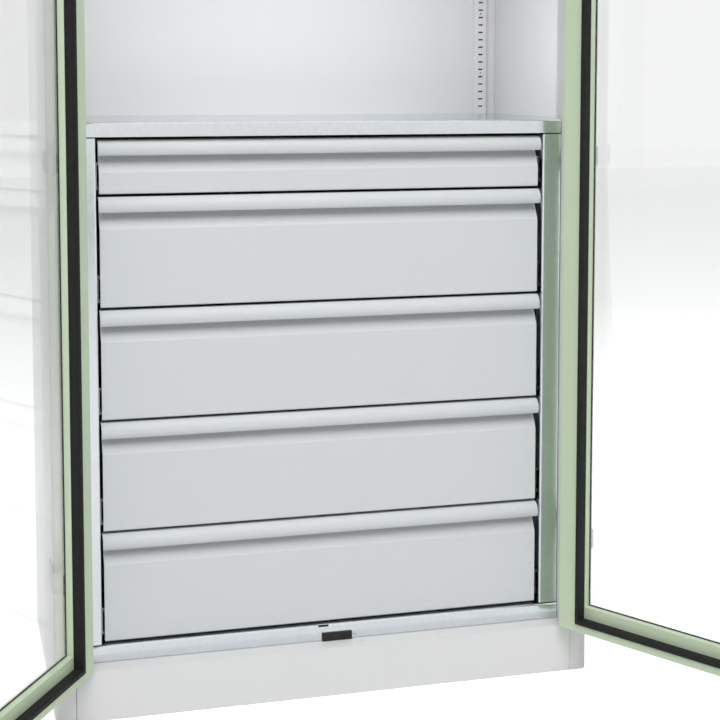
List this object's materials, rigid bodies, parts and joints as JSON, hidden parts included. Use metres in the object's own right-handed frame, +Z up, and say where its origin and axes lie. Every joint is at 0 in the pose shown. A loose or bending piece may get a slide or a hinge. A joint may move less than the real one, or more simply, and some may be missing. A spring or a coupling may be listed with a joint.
{
  "type": "drawer cabinet with window doors",
  "caption": "Tall steel cupboard with hinged window doors, a block of pull-out drawers with full-width grip lips below and shelf space above, on a closed plinth.",
  "frame": {"origin": "middle of the cabinet's footprint, on the floor", "axes": "+Z up, the front with the doors faces -Y, +X to the right seen from the front"},
  "size_m": [1.4288, 1.0076, 1.95],
  "materials": {
    "body_paint": "fine satin powder coat, light grey white",
    "door_paint": "fine satin powder coat, pale green",
    "drawer_paint": "satin powder coat, light grey",
    "galvanised_sheet": "bright galvanised sheet",
    "zinc_steel": "zinc plated steel",
    "clear_pane": "clear acrylic sheet, polished",
    "black_rubber": "matt black rubber profile",
    "black_plastic": "matt black moulding"
  },
  "bodies": {
    "cabinet": {"plinth_frame": "body_paint", "floor_panel": "body_paint", "left_side_wall": "body_paint", "right_side_wall": "body_paint", "back_wall": "body_paint", "ceiling_panel": "body_paint", "roof_cap": "body_paint", "block_cover": "galvanised_sheet", "block_sill": "galvanised_sheet", "block_left_post": "galvanised_sheet", "block_right_post": "galvanised_sheet", "left_slide_wall": "galvanised_sheet", "right_slide_wall": "galvanised_sheet", "fixed_rails": "zinc_steel", "shelf_rails": "body_paint", "shelf_clips": "galvanised_sheet", "lower_shelf": "body_paint", "upper_shelf": "body_paint", "door_stop": "black_plastic", "hinge_brackets": "zinc_steel"},
    "left_door": {"left_door_shell": "door_paint", "left_door_liner": "door_paint", "left_door_pane": "clear_pane", "left_door_gasket": "black_rubber", "left_door_seal": "black_rubber", "left_door_knuckles": "zinc_steel", "left_door_rebate_strip": "door_paint"},
    "right_door": {"right_door_shell": "door_paint", "right_door_liner": "door_paint", "right_door_pane": "clear_pane", "right_door_gasket": "black_rubber", "right_door_seal": "black_rubber", "right_door_knuckles": "zinc_steel", "lock_case": "zinc_steel", "lock_rod_guides": "zinc_steel", "lock_escutcheon": "black_plastic"},
    "lock_handle": {"lock_handle": "black_plastic", "lock_pinion": "zinc_steel"},
    "upper_rod": {"lock_upper_rod": "zinc_steel"},
    "lower_rod": {"lock_lower_rod": "zinc_steel"},
    "drawer_1": {"drawer_1_front": "drawer_paint", "drawer_1_box": "drawer_paint", "drawer_1_runners": "zinc_steel"},
    "mid_rails_1": {"drawer_1_mid_rails": "zinc_steel"},
    "drawer_2": {"drawer_2_front": "drawer_paint", "drawer_2_box": "drawer_paint", "drawer_2_runners": "zinc_steel"},
    "mid_rails_2": {"drawer_2_mid_rails": "zinc_steel"},
    "drawer_3": {"drawer_3_front": "drawer_paint", "drawer_3_box": "drawer_paint", "drawer_3_runners": "zinc_steel"},
    "mid_rails_3": {"drawer_3_mid_rails": "zinc_steel"},
    "drawer_4": {"drawer_4_front": "drawer_paint", "drawer_4_box": "drawer_paint", "drawer_4_runners": "zinc_steel"},
    "mid_rails_4": {"drawer_4_mid_rails": "zinc_steel"},
    "drawer_5": {"drawer_5_front": "drawer_paint", "drawer_5_box": "drawer_paint", "drawer_5_runners": "zinc_steel"},
    "mid_rails_5": {"drawer_5_mid_rails": "zinc_steel"}
  },
  "joints": [
    {"name": "left_door_hinge", "type": "hinge", "parent": "cabinet", "child": "left_door", "pos_m": [-0.48, -0.283, 0], "axis": [0, 0, -1], "range_deg": [-120, 0]},
    {"name": "right_door_hinge", "type": "hinge", "parent": "cabinet", "child": "right_door", "pos_m": [0.48, -0.283, 0], "axis": [0, 0, 1], "range_deg": [-120, 0]},
    {"name": "lock_handle_turn", "type": "hinge", "parent": "right_door", "child": "lock_handle", "pos_m": [0.69245, -0.66697, 1], "axis": [-0.866, -0.5, 0], "range_deg": [0, 90]},
    {"name": "upper_rod_slide", "type": "slide", "parent": "right_door", "child": "upper_rod", "axis": [0, 0, 1], "range_m": [0, 0.0201]},
    {"name": "lower_rod_slide", "type": "slide", "parent": "right_door", "child": "lower_rod", "axis": [0, 0, -1], "range_m": [0, 0.0201]},
    {"name": "drawer_1_slide", "type": "slide", "parent": "cabinet", "child": "drawer_1", "axis": [0, -1, 0], "range_m": [0, 0.4]},
    {"name": "mid_rails_1_slide", "type": "slide", "parent": "cabinet", "child": "mid_rails_1", "axis": [0, -1, 0], "range_m": [0, 0.2]},
    {"name": "drawer_2_slide", "type": "slide", "parent": "cabinet", "child": "drawer_2", "axis": [0, -1, 0], "range_m": [0, 0.4]},
    {"name": "mid_rails_2_slide", "type": "slide", "parent": "cabinet", "child": "mid_rails_2", "axis": [0, -1, 0], "range_m": [0, 0.2]},
    {"name": "drawer_3_slide", "type": "slide", "parent": "cabinet", "child": "drawer_3", "axis": [0, -1, 0], "range_m": [0, 0.4]},
    {"name": "mid_rails_3_slide", "type": "slide", "parent": "cabinet", "child": "mid_rails_3", "axis": [0, -1, 0], "range_m": [0, 0.2]},
    {"name": "drawer_4_slide", "type": "slide", "parent": "cabinet", "child": "drawer_4", "axis": [0, -1, 0], "range_m": [0, 0.4]},
    {"name": "mid_rails_4_slide", "type": "slide", "parent": "cabinet", "child": "mid_rails_4", "axis": [0, -1, 0], "range_m": [0, 0.2]},
    {"name": "drawer_5_slide", "type": "slide", "parent": "cabinet", "child": "drawer_5", "axis": [0, -1, 0], "range_m": [0, 0.4]},
    {"name": "mid_rails_5_slide", "type": "slide", "parent": "cabinet", "child": "mid_rails_5", "axis": [0, -1, 0], "range_m": [0, 0.2]}
  ],
  "couplings": [
    {"joint": "upper_rod_slide", "follows": "lock_handle_turn", "m_per_rad": 0.01275},
    {"joint": "lower_rod_slide", "follows": "lock_handle_turn", "m_per_rad": 0.01275},
    {"joint": "mid_rails_1_slide", "follows": "drawer_1_slide", "ratio": 0.5},
    {"joint": "mid_rails_2_slide", "follows": "drawer_2_slide", "ratio": 0.5},
    {"joint": "mid_rails_3_slide", "follows": "drawer_3_slide", "ratio": 0.5},
    {"joint": "mid_rails_4_slide", "follows": "drawer_4_slide", "ratio": 0.5},
    {"joint": "mid_rails_5_slide", "follows": "drawer_5_slide", "ratio": 0.5}
  ]
}
